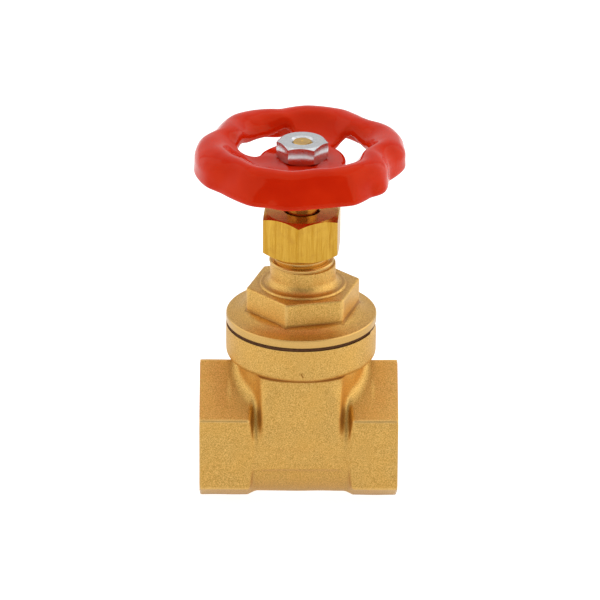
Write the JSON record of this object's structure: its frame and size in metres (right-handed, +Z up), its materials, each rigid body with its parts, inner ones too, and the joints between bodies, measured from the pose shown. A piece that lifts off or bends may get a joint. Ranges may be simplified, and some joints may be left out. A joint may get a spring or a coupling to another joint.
{
  "type": "gate valve",
  "caption": "Brass wedge gate valve with internally threaded hexagonal pipe ends, a screwed bonnet and a lobed coated handwheel that turns a non-rising stem to lift the gate.",
  "frame": {"origin": "where the pipe axis crosses the stem axis, in the middle of the gate when closed", "axes": "+X along the pipe towards the right-hand port, +Z up the stem towards the handwheel"},
  "size_m": [0.061, 0.061, 0.1134],
  "materials": {
    "forged_brass": "sand-blasted forging",
    "cast_brass": "machined faces on a casting",
    "turned_brass": "bright turned",
    "bar_brass": "drawn hexagon bar, bright",
    "gasket_fibre": "compressed fibre sheet",
    "packing_yarn": "graphited packing",
    "pressed_steel": "pressed sheet",
    "red_coating": "thick dipped coating, glossy",
    "zinc_plate": "bright zinc plate"
  },
  "bodies": {
    "valve_body": {"body": "forged_brass", "bonnet": "forged_brass", "bonnet_gasket": "gasket_fibre", "stem_stop_ring": "turned_brass", "packing_ring_lower": "packing_yarn", "packing_ring_middle": "packing_yarn", "packing_ring_upper": "packing_yarn", "gland_follower": "turned_brass", "packing_nut": "bar_brass"},
    "stem_and_handwheel": {"stem": "turned_brass", "handwheel_core": "pressed_steel", "handwheel_coating": "red_coating", "handwheel_nut": "zinc_plate"},
    "gate": {"gate_wedge": "cast_brass"}
  },
  "joints": [
    {"name": "stem_turn", "type": "hinge", "parent": "valve_body", "child": "stem_and_handwheel", "pos_m": [0, 0, 0.046], "axis": [0, 0, 1], "range_deg": [0, 3000]},
    {"name": "gate_lift", "type": "slide", "parent": "valve_body", "child": "gate", "axis": [0, 0, 1], "range_m": [0, 0.025]}
  ],
  "couplings": [
    {"joint": "gate_lift", "follows": "stem_turn", "m_per_rad": 0.00047746}
  ]
}
